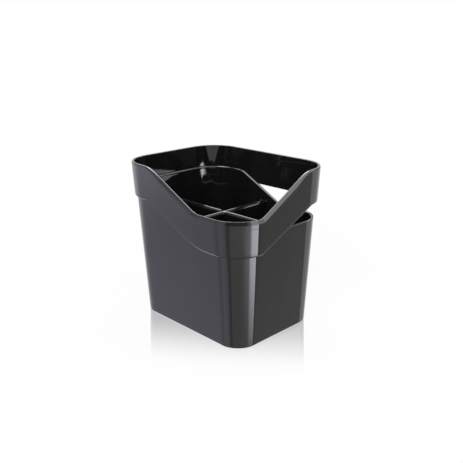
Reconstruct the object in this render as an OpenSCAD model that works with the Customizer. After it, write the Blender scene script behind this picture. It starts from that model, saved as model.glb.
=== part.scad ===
// Storage caddy: a tapered bin, a collar that wraps round it, and a lift-out cross divider.
// Millimetres, +Z up. The origin is the middle of the underside, and X runs along the long side.
// The front is the -Y side, where the collar falls from left to right.

/* [Bin] */
// Length of the bin at its floor, outside, along X
base_length = 124.6; // [112:0.2:170]
// Depth of the bin at its floor, outside, along Y
base_depth = 92.6; // [84:0.2:130]
// How far each wall leans out for each mm of height
draft = 0.056; // [0.03:0.002:0.09]
// Radius of the upright corners at the floor, outside
corner_r = 19.4; // [15:0.2:24]
// Thickness of the bin's walls
bin_wall = 2.3; // [1.8:0.1:3]
// Thickness of the bin's floor
floor_t = 2.4; // [1.8:0.1:4]
// Chamfer round the underside
base_chamfer = 1.2; // [0.6:0.1:2]
// Chamfer where the floor meets the walls, inside
inner_chamfer = 2; // [1:0.1:4]

/* [Bin rim] */
// How far the rim on the left side lies below the collar's upper edge
rim_drop = 19.4; // [17:0.2:22]
// How far the rim falls from the left side to the right side
rim_fall = 23.4; // [18:0.2:27]
// Where the rim starts to fall, along X
rim_fall_start = -34.6; // [-40:0.2:-28]
// Where the rim ends its fall, along X
rim_fall_end = 23.6; // [20:0.2:36]
// Radius of the two bends in the rim
rim_bend_r = 21.4; // [8:0.2:26]

/* [Collar] */
// Height of the collar's upper edge on its high side
collar_top = 136; // [120:0.2:160]
// Height of the collar band itself
collar_height = 29; // [26:0.2:34]
// How far the collar falls from its high side to the near right corner
collar_drop = 28.8; // [26:0.2:32]
// Thickness of the collar where it overlaps the bin
collar_wall = 1.9; // [1.6:0.1:3]
// How far the collar steps in over the bin's rim, as the ledge that it sits on
collar_ledge = 0.4; // [0.3:0.1:1.2]
// Where the collar starts to fall on the front, along X
front_fall_start = -38.8; // [-42:0.2:-30]
// Where the collar ends its fall on the front, along X
front_fall_end = 27; // [22:0.2:40]
// Radius of the upper bend on the front
front_upper_r = 32.4; // [20:0.2:40]
// Radius of the lower bend on the front
front_lower_r = 17; // [8:0.2:20]
// Where the collar starts to rise on the right side, along Y
side_rise_start = -29.2; // [-32:0.2:-20]
// Where the collar ends its rise on the right side, along Y
side_rise_end = 28.4; // [20:0.2:36]
// Radius of the lower bend on the right side
side_lower_r = 9.6; // [4:0.2:12]
// Radius of the upper bend on the right side
side_upper_r = 25; // [10:0.2:28]

/* [Collar foot] */
// Where the collar's lower edge starts to fall on the front, along X
front_foot_start = -38.6; // [-42:0.2:-30]
// Where the collar's lower edge ends its fall on the front, along X
front_foot_end = 36; // [32:0.2:42]
// Radius of the lower edge's upper bend on the front
front_foot_upper_r = 23; // [12:0.2:30]
// Radius of the lower edge's lower bend on the front
front_foot_lower_r = 60; // [20:0.5:64]
// Where the collar's lower edge starts to rise on the right side, along Y
side_foot_start = -27; // [-28:0.2:-20]
// Where the collar's lower edge ends its rise on the right side, along Y
side_foot_end = 32; // [26:0.2:38]
// Radius of the lower edge's lower bend on the right side
side_foot_lower_r = 5; // [4:0.2:12]
// Radius of the lower edge's upper bend on the right side
side_foot_upper_r = 8; // [4:0.2:16]

/* [Divider] */
// How far the divider stands above the bin's low rim
divider_proud = 0.8; // [-20:0.1:4]
// Thickness of the two divider plates
plate_t = 4; // [2.4:0.1:5]
// Size of the slopes along both sides of the plates' upper edges
crest = 1.7; // [0.4:0.1:2]
// Diameter of the round hub where the plates cross
hub_d = 6.6; // [5.4:0.1:8]
// Width of the guide ribs on the bin's walls
rib_w = 1.4; // [1:0.1:2.4]
// How far the guide ribs stand out from the walls
rib_depth = 1.5; // [1:0.1:3]

/* [Fits] */
// Glue gap between the collar and the bin
collar_fit = 0.1; // [0.05:0.01:0.2]
// Gap round the pieces that lift out
slip = 0.3; // [0.25:0.01:0.5]

/* [Hidden] */
// Facets of the round corners, and steps in each bend of a falling edge
round_fn = 96;
bend_steps = 8;
// Overlap that makes pieces of one solid fuse, and cuts run clear
bite = 0.5;
// Well past every side of the object
far = base_length + base_depth + collar_top;
// The upright axes that the four corners turn about
axis_x = base_length / 2 - corner_r;
axis_y = base_depth / 2 - corner_r;
// The collar's levels: its upper edge on the low side, and the foot of the band below it
collar_low = collar_top - collar_drop;
collar_foot = collar_low - collar_height;
// The bin's rim follows the collar
rim_high = collar_top - rim_drop;
rim_low = rim_high - rim_fall;
// The divider stands on the floor, and its plates halve into each other at mid-height
divider_foot = floor_t + slip;
divider_top = rim_low + divider_proud;
lap_z = (divider_foot + divider_top) / 2;
lap_slot = hub_d + 2 * slip;
foot_chamfer = inner_chamfer + slip;
// The slopes leave at least a narrow flat along the top
crest_size = min(crest, plate_t / 2 - 0.2);

// Distance from a corner's axis to a surface that lies off outside the bin, at height z
function reach(z, off) = corner_r + draft * z + off;

// Points of an edge that falls from [start, high] to [end, low] over two bends and a straight
function falling_edge(start, end, high, low, upper_r, lower_r) =
    let (run = end - start)
    let (sink = high - low - upper_r - lower_r)
    let (slope = atan2(sink, run) + asin((upper_r + lower_r) / norm([run, sink])))
    concat(
        [for (i = [0:bend_steps]) let (a = slope * i / bend_steps)
            [start + upper_r * sin(a), high - upper_r * (1 - cos(a))]],
        [for (i = [bend_steps:-1:0]) let (a = slope * i / bend_steps)
            [end - lower_r * sin(a), low + lower_r * (1 - cos(a))]]
    );

// The same edge run on level at both ends
function long_edge(points) =
    concat([[-far, points[0][1]]], points, [[far, points[len(points) - 1][1]]]);

function raised(points, rise) = [for (p = points) [p[0], p[1] + rise]];
function reversed(points) = [for (i = [len(points) - 1:-1:0]) points[i]];
function mirrored(points) = [for (p = reversed(points)) [-p[0], p[1]]];

rim_edge = long_edge(
    falling_edge(rim_fall_start, rim_fall_end, rim_high, rim_low, rim_bend_r, rim_bend_r));
front_edge = long_edge(
    falling_edge(front_fall_start, front_fall_end, collar_top, collar_low, front_upper_r, front_lower_r));
side_edge = mirrored(long_edge(
    falling_edge(-side_rise_end, -side_rise_start, collar_top, collar_low, side_upper_r, side_lower_r)));
front_foot = long_edge(falling_edge(front_foot_start, front_foot_end,
    collar_top - collar_height, collar_foot, front_foot_upper_r, front_foot_lower_r));
side_foot = mirrored(long_edge(falling_edge(-side_foot_end, -side_foot_start,
    collar_top - collar_height, collar_foot, side_foot_upper_r, side_foot_lower_r)));

// Sweeps a wall section, drawn as [distance from the corner axis, height], right round the bin
module round_the_bin(section) {
    for (mx = [0, 1], my = [0, 1])
        mirror([mx, 0, 0]) mirror([0, my, 0])
            translate([axis_x, axis_y, 0])
                rotate_extrude(angle = 90, $fn = round_fn) polygon(section);
    for (m = [0, 1])
        mirror([m, 0, 0]) translate([axis_x, axis_y, 0])
            rotate([90, 0, 0]) linear_extrude(2 * axis_y) polygon(section);
    for (m = [0, 1])
        mirror([0, m, 0]) translate([-axis_x, axis_y, 0])
            rotate([90, 0, 90]) linear_extrude(2 * axis_x) polygon(section);
}

// A leaning wall between two offsets and two heights
function wall_section(inner, outer, foot, top) =
    [[reach(foot, inner), foot], [reach(foot, outer), foot],
     [reach(top, outer), top], [reach(top, inner), top]];

// An outline in X and Z, or in Y and Z, run the whole way through the object
module through_y(outline, length) {
    rotate([90, 0, 0]) linear_extrude(length, center = true) polygon(outline);
}

module through_x(outline, length) {
    rotate([90, 0, 90]) linear_extrude(length, center = true) polygon(outline);
}

// The space that the collar's band fills, seen from the front, from the right side and behind
module collar_zone() {
    translate([0, side_rise_start - far, 0]) through_y(concat(front_foot, reversed(front_edge)), 2 * far);
    intersection() {
        translate([far, 0, 0]) through_x(concat(side_foot, reversed(side_edge)), 2 * far);
        translate([0, side_rise_start, -far]) cube([far, far, 3 * far]);
    }
    translate([-far, side_rise_start, collar_top - collar_height]) cube([far, far, collar_height]);
}

// Two upright ribs that hold one end of a divider plate, drawn for the +X wall
module guide_ribs(axis) {
    rib = wall_section(-bin_wall - rib_depth, bite - bin_wall, floor_t - bite, divider_top);
    for (m = [0, 1])
        mirror([0, m, 0]) translate([axis, plate_t / 2 + slip + rib_w, 0])
            rotate([90, 0, 0]) linear_extrude(rib_w) polygon(rib);
}

module bin_shell() {
    shell = [
        [0, 0],
        [reach(0, -base_chamfer), 0],
        [reach(base_chamfer, 0), base_chamfer],
        [reach(rim_high + bite, 0), rim_high + bite],
        [reach(rim_high + bite, -bin_wall), rim_high + bite],
        [reach(floor_t + inner_chamfer, -bin_wall), floor_t + inner_chamfer],
        [reach(floor_t, -bin_wall - inner_chamfer), floor_t],
        [0, floor_t]
    ];
    color("#2e2e31") difference() {
        union() {
            round_the_bin(shell);
            translate([-axis_x, -axis_y, 0]) cube([2 * axis_x, 2 * axis_y, floor_t]);
            for (m = [0, 1]) mirror([m, 0, 0]) guide_ribs(axis_x);
            for (turn = [90, 270]) rotate([0, 0, turn]) guide_ribs(axis_y);
        }
        through_y(concat(rim_edge, [[far, far], [-far, far]]), 2 * far);
    }
}

module collar_band() {
    outer = collar_fit + collar_wall;
    color("#3a3a3e") difference() {
        intersection() {
            round_the_bin(wall_section(-collar_ledge, outer, collar_foot - bite, collar_top + bite));
            collar_zone();
        }
        intersection() {
            round_the_bin(wall_section(-collar_ledge - bite, collar_fit, collar_foot - 2 * bite, rim_high + 2 * bite));
            through_y(concat(raised(rim_edge, collar_fit), [[far, -far], [-far, -far]]), 2 * far);
        }
    }
}

// One divider plate in X and Z: its ends lean with the walls of a bin whose corner axis is at axis
module plate(axis) {
    lean = function (z, off) axis + reach(z, -bin_wall - slip + off);
    half = [
        [lean(divider_foot, -foot_chamfer), divider_foot],
        [lean(divider_foot + foot_chamfer, 0), divider_foot + foot_chamfer],
        [lean(divider_top + bite, 0), divider_top + bite]
    ];
    crested = [
        [plate_t / 2, divider_foot - bite],
        [plate_t / 2, divider_top - crest_size],
        [plate_t / 2 - crest_size, divider_top]
    ];
    intersection() {
        through_y(concat(half, mirrored(half)), plate_t + 2 * bite);
        through_x(concat(crested, mirrored(crested)), 2 * far);
    }
}

// A round post on the crossing, with a slope of its own round its top
module hub(foot, top, slope) {
    rotate_extrude($fn = 48) polygon([
        [0, foot],
        [hub_d / 2, foot],
        [hub_d / 2, top - slope],
        [hub_d / 2 - slope, top],
        [0, top]
    ]);
}

module lap_cut(foot, top) {
    translate([-lap_slot / 2, -plate_t, foot]) cube([lap_slot, 2 * plate_t, top - foot]);
}

module divider_long() {
    color("#242427") union() {
        difference() {
            plate(axis_x);
            lap_cut(lap_z - slip / 2, divider_top + bite);
        }
        hub(divider_foot, lap_z - slip / 2, bite / 2);
    }
}

module divider_short() {
    color("#1c1c1f") rotate([0, 0, 90]) union() {
        difference() {
            plate(axis_y);
            lap_cut(divider_foot - bite, lap_z + slip / 2);
        }
        hub(lap_z + slip / 2, divider_top, crest_size / 2);
    }
}

bin_shell();
collar_band();
divider_long();
divider_short();
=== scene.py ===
import math

import bmesh
import bpy
from mathutils import Matrix, Vector


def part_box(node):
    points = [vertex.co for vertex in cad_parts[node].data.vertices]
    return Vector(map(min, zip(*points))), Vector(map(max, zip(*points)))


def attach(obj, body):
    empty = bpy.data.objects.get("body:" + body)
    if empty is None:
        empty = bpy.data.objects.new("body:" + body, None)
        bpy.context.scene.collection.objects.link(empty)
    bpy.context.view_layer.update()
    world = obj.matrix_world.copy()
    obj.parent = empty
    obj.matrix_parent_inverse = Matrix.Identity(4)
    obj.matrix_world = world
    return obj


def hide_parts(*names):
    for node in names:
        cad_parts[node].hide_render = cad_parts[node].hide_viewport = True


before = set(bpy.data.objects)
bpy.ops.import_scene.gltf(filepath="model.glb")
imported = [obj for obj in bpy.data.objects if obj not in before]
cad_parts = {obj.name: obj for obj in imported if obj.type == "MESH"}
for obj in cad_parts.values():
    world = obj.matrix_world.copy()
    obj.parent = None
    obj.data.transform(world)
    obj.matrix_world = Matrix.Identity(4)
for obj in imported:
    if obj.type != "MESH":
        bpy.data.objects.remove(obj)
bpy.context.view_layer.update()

# ---------------------------------------------------------------- sizes
# Lengths are millimetres in the functions below, and metres where a mesh is made.
MM = 0.001


def mm_box(node):
    low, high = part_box(node)
    return [v / MM for v in low], [v / MM for v in high]


_, bin_high = mm_box("bin_shell")
collar_low, collar_high = mm_box("collar_band")
plate_low, plate_high = mm_box("divider_long")

# The bin's walls lean out by DRAFT for each millimetre of height
DRAFT = 0.056
CORNER_R = 19.4
BIN_WALL = 2.3
FLOOR_T = 2.4
INNER_R = 2.0
BASE_R = 1.6
RIM_OUTER_R = 0.5
RIM_INNER_R = 1.3
RIM_FALL = 23.4
# How far the section's parts at the bin's foot and at its rim reach along the walls
FOOT_REACH = 9
RIM_REACH = 3
# The collar's outer and inner faces and its glue gap, measured out from the bin's wall
COLLAR_OUT = 2.0
COLLAR_IN = -0.4
COLLAR_FIT = 0.1
COLLAR_HEIGHT = 29.0
# How much taller the collar is where it is level
LEVEL_EXTRA = 0.5
# How far the collar's edge falls while its chamfer grows to full size
CHAMFER_GROWTH = 7.0
# The divider plates, the gap round them, and the points of the slopes beside their upper edge
PLATE_T = 4.0
SLIP = 0.3
CREST_FOOT = 2.3
CREST_TURN = 1.5
CREST_TURN_DROP = -1.2
CREST_R = 0.9
CREST_RISE = 0.4
HUB_D = 6.6
HUB_TOP_R = 1.6
HUB_EDGE_R = 0.3
# How far the hub's top rises from its edge to its middle
HUB_RISE = 0.5
RIB_W = 1.4
RIB_DEPTH = 1.5
RIB_EDGE = 0.35
# How far the ribs stop short of the rim, and how far they are let into the wall and the floor
RIB_DROP = 0.6
RIB_BITE = 0.5

TOP = collar_high[2]
RIM_HIGH = bin_high[2]
RIM_LOW = RIM_HIGH - RIM_FALL
CORNER_LOW = collar_low[2] + COLLAR_HEIGHT
HIGH_FOOT = TOP - COLLAR_HEIGHT - LEVEL_EXTRA
# The corners' axes, which stand upright at (+-AXIS_X, +-AXIS_Y)
AXIS_X = collar_high[0] - COLLAR_OUT - DRAFT * TOP - CORNER_R
AXIS_Y = collar_high[1] - COLLAR_OUT - DRAFT * TOP - CORNER_R
PLATE_TOP = plate_high[2]
PLATE_FOOT = plate_low[2]


# ---------------------------------------------------------------- the edges' curves
def falling(start, end, high, low, upper_r, lower_r):
    """Height of an edge that falls from start to end over two bends and a straight."""
    run = end - start
    sink = high - low - upper_r - lower_r
    slope = math.atan2(sink, run) + math.asin((upper_r + lower_r) / math.hypot(run, sink))
    ax, az = start + upper_r * math.sin(slope), high - upper_r * (1 - math.cos(slope))
    bx, bz = end - lower_r * math.sin(slope), low + lower_r * (1 - math.cos(slope))

    def height(u):
        if u <= start:
            return high
        if u < ax:
            return high - upper_r + math.sqrt(upper_r**2 - (u - start) ** 2)
        if u < bx:
            return az + (bz - az) * (u - ax) / (bx - ax)
        if u < end:
            return low + lower_r - math.sqrt(lower_r**2 - (u - end) ** 2)
        return low

    return height


# Each is given where it starts and ends, its heights, and the radii of its bends
rim_curve = falling(-34.6, 23.6, RIM_HIGH, RIM_LOW, 21.4, 21.4)
front_curve = falling(-38.8, 27, TOP, CORNER_LOW, 32.4, 17)
side_curve = falling(-28.4, 29.2, TOP, CORNER_LOW, 25, 9.6)
front_foot_curve = falling(-38.6, 36, HIGH_FOOT, collar_low[2], 23, 60)
side_foot_curve = falling(-32, 27, HIGH_FOOT, collar_low[2], 8, 5)
# What is nearer the front than this follows the front's curves
FRONT_ZONE = -29.2


def rim_level(x, y):
    return rim_curve(x)


def top_level(x, y):
    if y < FRONT_ZONE:
        return front_curve(x)
    return side_curve(-y) if x > 0 else TOP


def foot_level(x, y):
    if y < FRONT_ZONE:
        return front_foot_curve(x)
    return side_foot_curve(-y) if x > 0 else HIGH_FOOT


def ledge_level(x, y):
    return max(rim_level(x, y) + COLLAR_FIT, foot_level(x, y))


def ground(x, y):
    return 0.0


# ---------------------------------------------------------------- sweeping a section round the bin
# The distance between stations on the straights, and the steps in each corner, rounded edge, bevel and turn
STATION_GAP = 1.3
CORNER_STEPS = 32
ARC_STEPS = 4
BEVEL_STEPS = 3
TURNED_STEPS = 40
# A swept point's first height, the rounds in which it settles, the distance to either side over which an
# edge's slope is measured, and the steepest slope allowed for
FIRST_HEIGHT = 100.0
ROUNDS = 12
SLOPE_REACH = 0.25
STEEPEST = 1.2
# Mesh points closer than this, in metres, are one. Edges that turn by more than these angles are shaded
# sharp, or are bevelled.
SAME_PLACE = 1e-6
SHARP_ANGLE = math.radians(40)
BEVEL_ANGLE = math.radians(25)
# Half the angle at an outline's point above which it isn't rounded
NEARLY_STRAIGHT = math.radians(89)
# A point of a turned outline with a smaller radius than this is on its axis
ON_AXIS = 1e-6


def stations():
    """Points of the way round: a corner axis or a point between two, and the outward direction."""
    found = []
    corners = [(1, 1), (-1, 1), (-1, -1), (1, -1)]
    for i, (sx, sy) in enumerate(corners):
        for j in range(CORNER_STEPS + 1):
            a = math.radians(90 * i + 90 * j / CORNER_STEPS)
            found.append((sx * AXIS_X, sy * AXIS_Y, math.cos(a), math.sin(a)))
        nx, ny = corners[(i + 1) % 4]
        a = math.radians(90 * (i + 1))
        count = round(math.hypot((nx - sx) * AXIS_X, (ny - sy) * AXIS_Y) / STATION_GAP)
        for j in range(1, count):
            t = j / count
            x, y = AXIS_X * (sx + (nx - sx) * t), AXIS_Y * (sy + (ny - sy) * t)
            found.append((x, y, math.cos(a), math.sin(a)))
    return found


STATIONS = stations()


def swept_point(station, level, high, low):
    """A section's point at one station, measured as (off, rise) from a level and square to its edge.
    The section changes from high to low as the edge falls below the collar's top."""
    cx, cy, nx, ny = station
    off, z = high[0], FIRST_HEIGHT
    for _ in range(ROUNDS):
        reach = CORNER_R + DRAFT * z + off
        x, y = cx + reach * nx, cy + reach * ny
        d = SLOPE_REACH
        slope = (level(x - ny * d, y + nx * d) - level(x + ny * d, y - nx * d)) / (2 * d)
        slope = max(-STEEPEST, min(STEEPEST, slope))
        edge = level(x, y)
        fallen = max(0, min(1, (TOP - edge) / CHAMFER_GROWTH))
        off = high[0] + (low[0] - high[0]) * fallen
        z = edge + (high[1] + (low[1] - high[1]) * fallen) * math.sqrt(1 + slope * slope)
    return x, y, z


def rounded(points):
    """An open outline of (off, rise, radius), with an arc of that radius at each inner point."""
    out = [points[0][:2]]
    for before, here, after in zip(points, points[1:], points[2:]):
        p, a, b = (Vector(q[:2]) for q in (here, before, after))
        u, v = (a - p).normalized(), (b - p).normalized()
        half = math.acos(max(-1, min(1, u.dot(v)))) / 2
        if here[2] <= 0 or half > NEARLY_STRAIGHT:
            out.append(tuple(p))
            continue
        cut = here[2] / math.tan(half)
        centre = p + (u + v).normalized() * here[2] / math.sin(half)
        start, end = p + u * cut, p + v * cut
        a0 = math.atan2(*(start - centre).yx)
        a1 = math.atan2(*(end - centre).yx)
        turn = (a1 - a0 + math.pi) % (2 * math.pi) - math.pi
        for i in range(ARC_STEPS + 1):
            t = a0 + turn * i / ARC_STEPS
            out.append(tuple(centre + here[2] * Vector((math.cos(t), math.sin(t)))))
    out.append(points[-1][:2])
    return out


def section(*runs):
    """A section's points as (level, high, low), of runs (level, points) or (level, points, low points)."""
    return [(run[0], high, low) for run in runs for high, low in zip(run[1], run[-1])]


def sweep(profile, closed):
    """A solid swept round all the stations: a ring, or a vessel whose two ends are closed by flat faces."""
    bm = bmesh.new()
    rings = []
    for station in STATIONS:
        ring = []
        for level, high, low in profile:
            x, y, z = swept_point(station, level, high, low)
            ring.append(bm.verts.new((x * MM, y * MM, z * MM)))
        rings.append(ring)
    count = len(profile)
    for a, b in zip(rings, rings[1:] + rings[:1]):
        for k in range(count if closed else count - 1):
            m = (k + 1) % count
            bm.faces.new((a[k], b[k], b[m], a[m]))
    if not closed:
        bm.faces.new([r[0] for r in rings])
        bm.faces.new([r[-1] for r in reversed(rings)])
    return bm


def add_piece(name, bm, body, material):
    """The visible piece made of a mesh: cleaned, smooth but for its sharp edges, and riding its body."""
    bmesh.ops.remove_doubles(bm, verts=bm.verts, dist=SAME_PLACE)
    bmesh.ops.dissolve_degenerate(bm, edges=bm.edges, dist=SAME_PLACE)
    bmesh.ops.recalc_face_normals(bm, faces=bm.faces)
    for f in bm.faces:
        f.smooth = True
    for e in bm.edges:
        e.smooth = e.calc_face_angle(0) < SHARP_ANGLE
    mesh = bpy.data.meshes.new(name)
    bm.to_mesh(mesh)
    bm.free()
    piece = bpy.data.objects.new(name, mesh)
    bpy.context.scene.collection.objects.link(piece)
    mesh.materials.append(material)
    weights = piece.modifiers.new("face_weights", "WEIGHTED_NORMAL")
    weights.mode = "FACE_AREA"
    weights.keep_sharp = True
    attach(piece, body)
    return piece


# ---------------------------------------------------------------- materials
def glossy_plastic(name, dark, light, roughness, peel, smudge):
    """Moulded gloss plastic: faint flow marks in its colour, smudged gloss and orange peel."""
    material = bpy.data.materials.new(name)
    material.use_nodes = True
    tree = material.node_tree
    node, link = tree.nodes.new, tree.links.new
    shader = tree.nodes["Principled BSDF"]
    place = node("ShaderNodeTexCoord").outputs["Object"]

    def noise(vector, scale, detail, rough=0.5, distortion=0.0):
        n = node("ShaderNodeTexNoise")
        n.inputs["Scale"].default_value = scale
        n.inputs["Detail"].default_value = detail
        n.inputs["Roughness"].default_value = rough
        n.inputs["Distortion"].default_value = distortion
        link(vector, n.inputs["Vector"])
        return n.outputs["Fac"]

    def bump(height, distance):
        n = node("ShaderNodeBump")
        n.inputs["Strength"].default_value = peel
        n.inputs["Distance"].default_value = distance
        link(height, n.inputs["Height"])
        return n

    flow_scale = node("ShaderNodeMapping")
    flow_scale.inputs["Scale"].default_value = (22, 22, 9)
    link(place, flow_scale.inputs["Vector"])
    tint = node("ShaderNodeValToRGB")
    for element, position, colour in zip(tint.color_ramp.elements, (0.35, 0.68), (dark, light)):
        element.position = position
        element.color = (*colour, 1)
    flow = noise(flow_scale.outputs["Vector"], scale=1.6, detail=4, distortion=0.8)
    link(flow, tint.inputs["Fac"])
    link(tint.outputs["Color"], shader.inputs["Base Color"])

    gloss = node("ShaderNodeMapRange")
    gloss.inputs["From Min"].default_value = 0.4
    gloss.inputs["From Max"].default_value = 0.75
    gloss.inputs["To Min"].default_value = roughness
    gloss.inputs["To Max"].default_value = roughness + smudge
    link(noise(place, scale=38, detail=5, rough=0.62), gloss.inputs["Value"])
    link(gloss.outputs["Result"], shader.inputs["Roughness"])

    fine = bump(noise(place, scale=650, detail=3), distance=0.00006)
    broad = bump(noise(place, scale=70, detail=2), distance=0.0002)
    link(fine.outputs["Normal"], broad.inputs["Normal"])
    link(broad.outputs["Normal"], shader.inputs["Normal"])
    shader.inputs["IOR"].default_value = 1.52
    return material


# The bin and the collar are more highly polished than the dividers.
POLISHED = {"roughness": 0.035, "peel": 0.05, "smudge": 0.03}
PLAINER = {"roughness": 0.09, "peel": 0.08, "smudge": 0.06}
bin_plastic = glossy_plastic(
    "gloss_black_bin", (0.0072, 0.0072, 0.0076), (0.0108, 0.0108, 0.0114), **POLISHED
)
collar_plastic = glossy_plastic(
    "gloss_black_collar", (0.0074, 0.0074, 0.0078), (0.0111, 0.0111, 0.0117), **POLISHED
)
divider_plastic = glossy_plastic(
    "gloss_black_divider", (0.0075, 0.0075, 0.0078), (0.0110, 0.0110, 0.0115), **PLAINER
)

# ---------------------------------------------------------------- the bin
# Its section runs from the underside up the outside, over the rim and down to the floor inside. Flat faces
# close it at both ends.
bin_outside = rounded([(-BASE_R - 1, 0, 0), (0, 0, BASE_R), (0, FOOT_REACH, 0)])
bin_rim = rounded(
    [(0, -RIM_REACH, 0), (0, 0, RIM_OUTER_R), (-BIN_WALL, 0, RIM_INNER_R), (-BIN_WALL, -RIM_REACH, 0)]
)
bin_inside = rounded(
    [
        (-BIN_WALL, FLOOR_T + FOOT_REACH, 0),
        (-BIN_WALL, FLOOR_T, INNER_R),
        (-BIN_WALL - INNER_R - 1, FLOOR_T, 0),
    ]
)
bin_section = section((ground, bin_outside), (rim_level, bin_rim), (ground, bin_inside))
bin_body = add_piece("bin_body", sweep(bin_section, closed=False), "caddy", bin_plastic)
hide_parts("bin_shell")


# ---------------------------------------------------------------- the collar
def collar_edge(groove, chamfer_x, chamfer_z, chamfer_r):
    """The collar's upper edge as (off, rise) points, with a groove of that depth below the chamfer."""
    return rounded(
        [
            (COLLAR_OUT, -8, 0),
            (COLLAR_OUT, -6.2, 0),
            (COLLAR_OUT - groove, -5.8, 0),
            (COLLAR_OUT, -5.4, 0),
            (COLLAR_OUT, chamfer_z, chamfer_r),
            (chamfer_x, 0, 0.35),
            (COLLAR_IN, 0, 0.45),
            (COLLAR_IN, -3, 0),
        ]
    )


# The chamfer is narrow where the edge is high, and as the edge falls it grows and a faint groove comes in.
edge_high = collar_edge(groove=0.0, chamfer_x=1.4, chamfer_z=-1.1, chamfer_r=0.4)
edge_low = collar_edge(groove=0.08, chamfer_x=0.55, chamfer_z=-2.9, chamfer_r=0.6)
ledge = rounded([(COLLAR_IN, 1.2, 0), (COLLAR_IN, 0, 0.25), (COLLAR_FIT, 0, 0)])
foot = rounded([(COLLAR_FIT, 0, 0), (COLLAR_OUT, 0, 1.3), (COLLAR_OUT, 4, 0)])
collar_section = section((top_level, edge_high, edge_low), (ledge_level, ledge), (foot_level, foot))
band = sweep(collar_section, closed=True)
collar = add_piece("collar_band_smooth", band, "caddy", collar_plastic)
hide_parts("collar_band")


# ---------------------------------------------------------------- the dividers and their guide ribs
def bevelled(bm, width):
    """The same mesh with its sharp edges rounded."""
    sharp = [e for e in bm.edges if len(e.link_faces) == 2 and e.calc_face_angle() > BEVEL_ANGLE]
    bmesh.ops.bevel(
        bm,
        geom=sharp,
        offset=width * MM,
        segments=BEVEL_STEPS,
        profile=0.5,
        affect="EDGES",
        clamp_overlap=True,
    )
    return bm


def slab(layers, turn, shift=(0, 0, 0)):
    """A solid through outlines in (along, up), each at its own place across, then turned about Z."""
    bm = bmesh.new()
    rings = []
    for across, outline in layers:
        rings.append([bm.verts.new((u * MM, across * MM, z * MM)) for u, z in outline])
    bm.faces.new(rings[0])
    bm.faces.new(rings[-1][::-1])
    for a, b in zip(rings, rings[1:]):
        for i in range(len(a)):
            j = (i + 1) % len(a)
            bm.faces.new((a[i], b[i], b[j], a[j]))
    bmesh.ops.recalc_face_normals(bm, faces=bm.faces)
    matrix = Matrix.Rotation(math.radians(turn), 4, "Z") @ Matrix.Translation([v * MM for v in shift])
    bmesh.ops.transform(bm, matrix=matrix, verts=bm.verts)
    return bm


def inner_wall(axis, z):
    """How far the bin's inner wall is from the middle, at a height."""
    return axis + CORNER_R + DRAFT * z - BIN_WALL


def plate_outline(axis, top, slot_from, slot_to):
    """A plate's outline up to a level, with the halving slot open at its top or its foot."""
    cut = INNER_R + SLIP
    half = HUB_D / 2 + SLIP
    right = [
        (inner_wall(axis, PLATE_FOOT) - SLIP - cut, PLATE_FOOT),
        (inner_wall(axis, PLATE_FOOT + cut) - SLIP, PLATE_FOOT + cut),
        (inner_wall(axis, top) - SLIP, top),
    ]
    left = [(-u, z) for u, z in reversed(right)]
    top_slot = [(half, top), (half, slot_from), (-half, slot_from), (-half, top)]
    foot_slot = [(-half, PLATE_FOOT), (-half, slot_to), (half, slot_to), (half, PLATE_FOOT)]
    if slot_from <= PLATE_FOOT:
        top_slot = []
    if slot_to >= PLATE_TOP:
        foot_slot = []
    return right + top_slot + left + foot_slot


def plate(axis, slot_from, slot_to, turn):
    """A divider plate whose upper edge is a rounded crest between two slopes."""
    half = PLATE_T / 2
    side = [(half, -9, 0), (half, -CREST_FOOT, 0.35), (CREST_TURN, CREST_TURN_DROP, 0.3)]
    crest = rounded([(-x, z, r) for x, z, r in side] + [(0, CREST_RISE, CREST_R)] + side[::-1])
    layers = []
    for across, drop in crest[1:-1]:
        layers.append((across, plate_outline(axis, PLATE_TOP + drop, slot_from, slot_to)))
    return slab(layers, turn)


def turned(profile):
    """A solid of revolution about the upright axis, from (radius, height) points."""
    bm = bmesh.new()
    rings = []
    for radius, z in profile:
        if radius < ON_AXIS:
            rings.append([bm.verts.new((0, 0, z * MM))])
            continue
        angles = [2 * math.pi * i / TURNED_STEPS for i in range(TURNED_STEPS)]
        r = radius * MM
        rings.append([bm.verts.new((r * math.cos(a), r * math.sin(a), z * MM)) for a in angles])
    for a, b in zip(rings, rings[1:]):
        for i in range(TURNED_STEPS):
            j = (i + 1) % TURNED_STEPS
            if len(a) == 1:
                bm.faces.new((a[0], b[i], b[j]))
            elif len(b) == 1:
                bm.faces.new((a[i], a[j], b[0]))
            else:
                bm.faces.new((a[i], a[j], b[j], b[i]))
    return bm


def add_divider(name, bm, body):
    return add_piece(name, bm, body, divider_plastic)


def hub(foot, edge, top, edge_r):
    """Half of the hub, whose upper edge is rounded."""
    r = HUB_D / 2
    return turned(rounded([(0, foot, 0), (r, foot, HUB_EDGE_R), (r, edge, edge_r), (0, top, 0)]))


# The two plates are halved together at this height, with a gap
LAP = (PLATE_FOOT + PLATE_TOP) / 2
LAP_LOW = LAP - SLIP / 2
LAP_HIGH = LAP + SLIP / 2
long_plate = add_divider("divider_plate_long", plate(AXIS_X, LAP_LOW, PLATE_TOP, 0), "long_plate")
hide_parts("divider_long")
short_plate = add_divider("divider_plate_short", plate(AXIS_Y, PLATE_FOOT, LAP_HIGH, 90), "short_plate")
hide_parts("divider_short")
add_divider("divider_hub_upper", hub(LAP_HIGH, PLATE_TOP - HUB_RISE, PLATE_TOP, HUB_TOP_R), "short_plate")
add_divider("divider_hub_lower", hub(PLATE_FOOT, LAP_LOW, LAP_LOW, HUB_EDGE_R), "long_plate")

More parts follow.
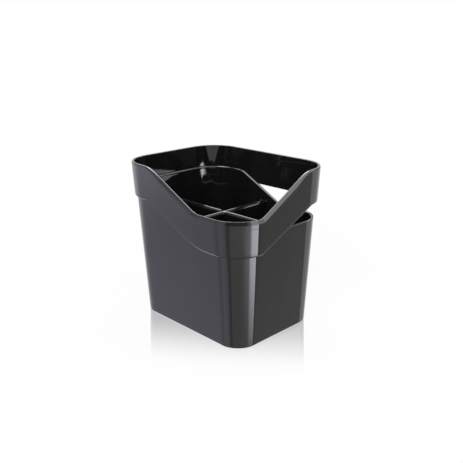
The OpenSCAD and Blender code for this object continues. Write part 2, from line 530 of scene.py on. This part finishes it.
WALLS = (("right", AXIS_X, 0), ("back", AXIS_Y, 90), ("left", AXIS_X, 180), ("front", AXIS_Y, 270))
for side, axis, turn in WALLS:
    level = RIM_LOW if side == "right" else PLATE_TOP
    wall_foot, wall_top = inner_wall(axis, FLOOR_T), inner_wall(axis, level)
    outline = [
        (wall_foot + RIB_BITE, FLOOR_T - RIB_BITE),
        (wall_top + RIB_BITE, level - RIB_DROP),
        (wall_top - RIB_DEPTH, level - RIB_DROP),
        (wall_foot - RIB_DEPTH, FLOOR_T - RIB_BITE),
    ]
    for i, across in enumerate((-1, 1)):
        shift = (0, across * (PLATE_T / 2 + SLIP + RIB_W / 2), 0)
        rib = bevelled(slab([(-RIB_W / 2, outline), (RIB_W / 2, outline)], turn, shift), RIB_EDGE)
        add_piece(f"guide_rib_{side}_{i + 1}", rib, "caddy", bin_plastic)


# ---------------------------------------------------------------- formulas in shaders
def formulas(tree):
    """Two makers of nodes in a tree: any Math operation, and a soft rise of one value with another."""
    node, link = tree.nodes.new, tree.links.new

    def maths(kind, *values):
        n = node("ShaderNodeMath")
        n.operation = kind
        for i, v in enumerate(values):
            if isinstance(v, (int, float)):
                n.inputs[i].default_value = v
            else:
                link(v, n.inputs[i])
        return n.outputs[0]

    def rise(value, start, end, low=0.0, high=1.0):
        n = node("ShaderNodeMapRange")
        n.interpolation_type = "SMOOTHSTEP"
        for key, v in (("From Min", start), ("From Max", end), ("To Min", low), ("To Max", high)):
            n.inputs[key].default_value = v
        link(value, n.inputs["Value"])
        return n.outputs["Result"]

    return maths, rise


# ---------------------------------------------------------------- the floor
# Metres. The floor lies just below the object's underside.
FLOOR_HALF = 6.0
FLOOR_DROP = 0.0002
# The mirror image's strength at the foot, and the direction towards the near corner in which it fades first
MIRROR = 0.50
FORWARD_X, FORWARD_Y = 0.6, -0.8


def floor_material():
    """White floor with a mirror image of the object that fades with distance from its foot."""
    material = bpy.data.materials.new("white_sweep")
    material.use_nodes = True
    tree = material.node_tree
    tree.nodes.clear()
    node, link = tree.nodes.new, tree.links.new
    maths, rise = formulas(tree)
    out = node("ShaderNodeOutputMaterial")
    seen = node("ShaderNodeLightPath").outputs["Is Camera Ray"]
    split = node("ShaderNodeSeparateXYZ")
    link(node("ShaderNodeTexCoord").outputs["Object"], split.inputs["Vector"])

    def past(axis, half):
        return maths("MAXIMUM", maths("SUBTRACT", maths("ABSOLUTE", split.outputs[axis]), half), 0.0)

    dx, dy = past("X", AXIS_X * MM), past("Y", AXIS_Y * MM)
    reach = maths("SQRT", maths("ADD", maths("MULTIPLY", dx, dx), maths("MULTIPLY", dy, dy)))
    away = maths("SUBTRACT", reach, CORNER_R * MM)
    right_part = maths("MULTIPLY", split.outputs["X"], FORWARD_X)
    forward = maths("ADD", right_part, maths("MULTIPLY", split.outputs["Y"], FORWARD_Y))
    # a floor seen from high above mirrors next to nothing
    graze = node("ShaderNodeLayerWeight")
    graze.inputs["Blend"].default_value = 0.5
    near = maths("MULTIPLY", rise(forward, 0.010, 0.098, MIRROR, 0.0), rise(away, 0.03, 0.12, 1.0, 0.0))
    fade = maths("MULTIPLY", near, rise(graze.outputs["Facing"], 0.25, 0.55))

    lit = node("ShaderNodeBsdfDiffuse")
    lit.inputs["Color"].default_value = (0.94, 0.94, 0.94, 1)
    glow = node("ShaderNodeEmission")
    glow.inputs["Color"].default_value = (1, 1, 1, 1)
    glow.inputs["Strength"].default_value = 1.0
    mirror = node("ShaderNodeBsdfAnisotropic")
    mirror.inputs["Color"].default_value = (1, 1, 1, 1)
    mirror.inputs["Roughness"].default_value = 0.0

    def mixed(amount, first, second):
        n = node("ShaderNodeMixShader")
        link(amount, n.inputs["Fac"])
        link(first, n.inputs[1])
        link(second, n.inputs[2])
        return n.outputs["Shader"]

    # the more it glows of itself, the less of the shadow stays
    paleness = maths("MULTIPLY", seen, rise(away, 0.0, 0.5, 0.86, 1.0))
    pale = mixed(paleness, lit.outputs["BSDF"], glow.outputs["Emission"])
    link(mixed(maths("MULTIPLY", fade, seen), pale, mirror.outputs["BSDF"]), out.inputs["Surface"])
    return material


floor_bm = bmesh.new()
bmesh.ops.create_grid(floor_bm, x_segments=8, y_segments=8, size=FLOOR_HALF)
floor_mesh = bpy.data.meshes.new("floor")
floor_bm.to_mesh(floor_mesh)
floor_bm.free()
floor = bpy.data.objects.new("floor", floor_mesh)
bpy.context.scene.collection.objects.link(floor)
floor_mesh.materials.append(floor_material())
floor.location = (0, 0, -FLOOR_DROP)
floor.visible_glossy = False

# ---------------------------------------------------------------- the studio
scene = bpy.context.scene
scene.view_settings.view_transform = "Standard"

# What gloss sees of the studio, in degrees of bearing and height.
# Its colour round the room: cool on the left, and faintly so in the strip light.
PLAIN = (1.0, 1.0, 1.0)
FAINT = (1.0, 0.99, 1.08)
COOL = (1.02, 0.99, 1.17)
HUES = (
    (-180, COOL), (-95, COOL), (-80, PLAIN), (-6, PLAIN),
    (0, FAINT), (28, FAINT), (31, PLAIN), (180, PLAIN),
)
# Its level round the room, at the height of the walls
LEVELS = (
    (-180, 0.88), (-150, 0.86), (-132, 0.87), (-120, 0.75), (-110, 1.12), (-92, 1.02),
    (-84, 0.55), (-77, 0.38), (-71, 0.86), (-40, 0.90), (-26, 0.98), (27, 1.0),
    (30, 0.52), (33, 0.44), (37, 0.60), (44, 0.58), (54, 0.59), (56, 1.34),
    (58, 1.36), (64, 1.12), (72, 1.0), (88, 0.85), (104, 1.0), (168, 1.0),
)
BRIGHTEST = 2.0
# Each soft box has a level, then where the soft change at its left, right, foot and top starts and ends.
# The strip light, which the near corner's stripe shows, is one whose level changes with height as well.
STRIP = (5.0, (-4, 6), (27, 29), (-90, -89), (62, 75))
SOFT_BOXES = (
    # the fade at the left of the near corner's stripe
    (1.4, (-34, 2), (26, 28), (-36, -26), (-22, -18)),
    # the line along the short plate's crest
    (2.1, (24, 30), (52, 66), (8, 15), (50, 58)),
    # the paler upper part of the front
    (0.55, (-180, -179), (-128, -118), (-22, -14), (4, 14)),
    # a small window low down
    (1.4, (34, 38), (50, 54), (-17, -13), (0, 10)),
    # one high window on both sides of the bearing 180, along the upper edges
    (6.5, (84, 94), (181, 182), (25, 36), (52, 60)),
    (9.0, (-182, -181), (-172, -162), (28, 38), (52, 60)),
    # the rim's inner edge where it falls
    (9.5, (-160, -140), (-90, -70), (48, 56), (72, 80)),
    # the glints in the far left corner
    (3.0, (-9, -4), (8, 12), (-12, -9), (-3, 1)),
    # overhead
    (3.0, (-181, -180), (180, 181), (58, 70), (91, 92)),
)
# Darker places: the share they take away, and the same edges
SHADES = (
    (0.75, (-92, -80), (-16, -6), (8, 26), (56, 64)),
    (0.13, (-74, -66), (0, 10), (-90, -89), (-30, -25)),
)
# The level of the floor behind and to the left as gloss shows it, of the floor close by, and of the light
# on matt surfaces
FLOOR_LEVEL = 1.9
NEAR_FLOOR_LEVEL = 0.42
ROOM_LIGHT = 0.55


def studio_world():
    """White all round for the camera, and a studio's soft boxes and gaps in what gloss reflects."""
    world = bpy.data.worlds.new("studio")
    world.use_nodes = True
    tree = world.node_tree
    tree.nodes.clear()
    node, link = tree.nodes.new, tree.links.new
    maths, rise = formulas(tree)
    split = node("ShaderNodeSeparateXYZ")
    link(node("ShaderNodeTexCoord").outputs["Generated"], split.inputs["Vector"])
    bearing = maths("DEGREES", maths("ARCTAN2", split.outputs["Y"], split.outputs["X"]))
    height = maths("DEGREES", maths("ARCSINE", split.outputs["Z"]))
    # lower down, the near corner's stripe stands a little further round
    bearing = maths("ADD", bearing, rise(height, -34, -20, -3.0, 0.0))
    around = maths("DIVIDE", maths("ADD", bearing, 180.0), 360.0)

    def round_the_room(stops):
        """A colour by bearing, from (degrees, colour) stops."""
        n = node("ShaderNodeValToRGB")
        for i, (degrees, colour) in enumerate(stops):
            at = (degrees + 180) / 360
            stop = n.color_ramp.elements[i] if i < 2 else n.color_ramp.elements.new(at)
            stop.position = at
            stop.color = (*colour, 1)
        link(around, n.inputs["Fac"])
        return n.outputs["Color"]

    def patch(level, left, right, foot, top):
        """A soft box between two bearings and two heights, each given as (start, end) of its soft edge."""
        sides = maths("MULTIPLY", rise(bearing, *left), rise(bearing, *right, 1.0, 0.0))
        ends = maths("MULTIPLY", rise(height, *foot), rise(height, *top, 1.0, 0.0))
        return maths("MULTIPLY", maths("MULTIPLY", sides, ends), level)

    # a ramp holds no level above 1, so these are brought down and up again
    levels = round_the_room([(degrees, [level / BRIGHTEST] * 3) for degrees, level in LEVELS])
    room = maths("MULTIPLY", levels, BRIGHTEST)
    strip = maths("MULTIPLY", patch(*STRIP), rise(height, -37, -22, 0.10, 1.0))
    # the strip is dim in between, where walls seen aslant from behind would show it as a white edge
    between = maths("MULTIPLY", rise(height, -22, -19, 0.0, 0.9), rise(height, -11, -8, 1.0, 0.0))
    strip = maths("MULTIPLY", strip, maths("SUBTRACT", 1.0, between))
    upper = maths("ADD", rise(height, -6, 8, 1.0, 0.56), rise(height, 22, 32, 0.0, 0.22))
    room = maths("ADD", room, maths("MULTIPLY", strip, upper))
    for box in SOFT_BOXES:
        room = maths("ADD", room, patch(*box))
    for shade in SHADES:
        room = maths("MULTIPLY", room, maths("SUBTRACT", 1.0, patch(*shade)))
    behind = rise(bearing, 50, 66, 0.0, FLOOR_LEVEL)
    below = maths("ADD", behind, rise(bearing, -160, -148, FLOOR_LEVEL, 0.0))
    below = maths("MULTIPLY", below, rise(height, -62, -50))
    below = maths("MULTIPLY", below, rise(height, -42, -34, 1.0, 0.0))
    # the floor close by, which only views from above show in the walls
    below = maths("ADD", below, rise(height, -58, -46, NEAR_FLOOR_LEVEL, 0.0))
    # the ceiling is plain
    tinted = node("ShaderNodeMix")
    tinted.data_type = "RGBA"
    link(rise(height, 20, 40), tinted.inputs["Factor"])
    link(round_the_room(HUES), tinted.inputs["A"])
    tinted.inputs["B"].default_value = (*PLAIN, 1)

    def background(strength):
        n = node("ShaderNodeBackground")
        n.inputs["Color"].default_value = (1, 1, 1, 1)
        n.inputs["Strength"].default_value = strength
        return n

    reflected = background(1.0)
    link(tinted.outputs["Result"], reflected.inputs["Color"])
    link(maths("ADD", maths("MULTIPLY", room, rise(height, -54, -38)), below), reflected.inputs["Strength"])
    plain, white = background(ROOM_LIGHT), background(1.0)
    rays = node("ShaderNodeLightPath")
    glossy = node("ShaderNodeMixShader")
    link(rays.outputs["Is Glossy Ray"], glossy.inputs["Fac"])
    link(plain.outputs["Background"], glossy.inputs[1])
    link(reflected.outputs["Background"], glossy.inputs[2])
    camera = node("ShaderNodeMixShader")
    # a perfect mirror, which only the floor has, shows the same white
    clear = maths("MAXIMUM", rays.outputs["Is Camera Ray"], rays.outputs["Is Singular Ray"])
    link(clear, camera.inputs["Fac"])
    link(glossy.outputs["Shader"], camera.inputs[1])
    link(white.outputs["Background"], camera.inputs[2])
    out = node("ShaderNodeOutputWorld")
    link(camera.outputs["Shader"], out.inputs["Surface"])
    return world


scene.world = studio_world()


# Lamps light the matt floor and the plastic's own colour, and gloss doesn't show them.
LAMPS_AIM = Vector((0, 0, 0.06))


def softbox(name, place, side, watts):
    """A square lamp that faces the middle of the object."""
    data = bpy.data.lights.new(name, "AREA")
    data.shape = "RECTANGLE"
    data.size, data.size_y = side, side
    data.energy = watts
    lamp = bpy.data.objects.new(name, data)
    scene.collection.objects.link(lamp)
    lamp.location = place
    aim = LAMPS_AIM - Vector(place)
    lamp.rotation_euler = aim.to_track_quat("-Z", "Y").to_euler()
    lamp.visible_glossy = False


softbox("key", (0.5, -1.2, 0.9), side=0.8, watts=7)
softbox("top", (0.1, 0.0, 1.4), side=1.2, watts=9)

# ---------------------------------------------------------------- the camera, fitted to the photo
CAMERA_PLACE = Vector((365.02, -346.43, 242.07)) * MM
CAMERA_YAW, CAMERA_PITCH, CAMERA_ROLL = (math.radians(v) for v in (45.838, 18.343, -0.390))
CAMERA_LENS = 48.05

ahead_x = -math.sin(CAMERA_YAW) * math.cos(CAMERA_PITCH)
ahead_y = math.cos(CAMERA_YAW) * math.cos(CAMERA_PITCH)
ahead = Vector((ahead_x, ahead_y, -math.sin(CAMERA_PITCH)))
level_right = Vector((math.cos(CAMERA_YAW), math.sin(CAMERA_YAW), 0))
level_up = level_right.cross(ahead)
right = level_right * math.cos(CAMERA_ROLL) + level_up * math.sin(CAMERA_ROLL)
up = level_up * math.cos(CAMERA_ROLL) - level_right * math.sin(CAMERA_ROLL)
camera_data = bpy.data.cameras.new("camera")
camera_data.lens = CAMERA_LENS
camera_data.sensor_width = 36
camera = bpy.data.objects.new("camera", camera_data)
scene.collection.objects.link(camera)
camera.matrix_world = Matrix.Translation(CAMERA_PLACE) @ Matrix((right, up, -ahead)).transposed().to_4x4()
scene.camera = camera
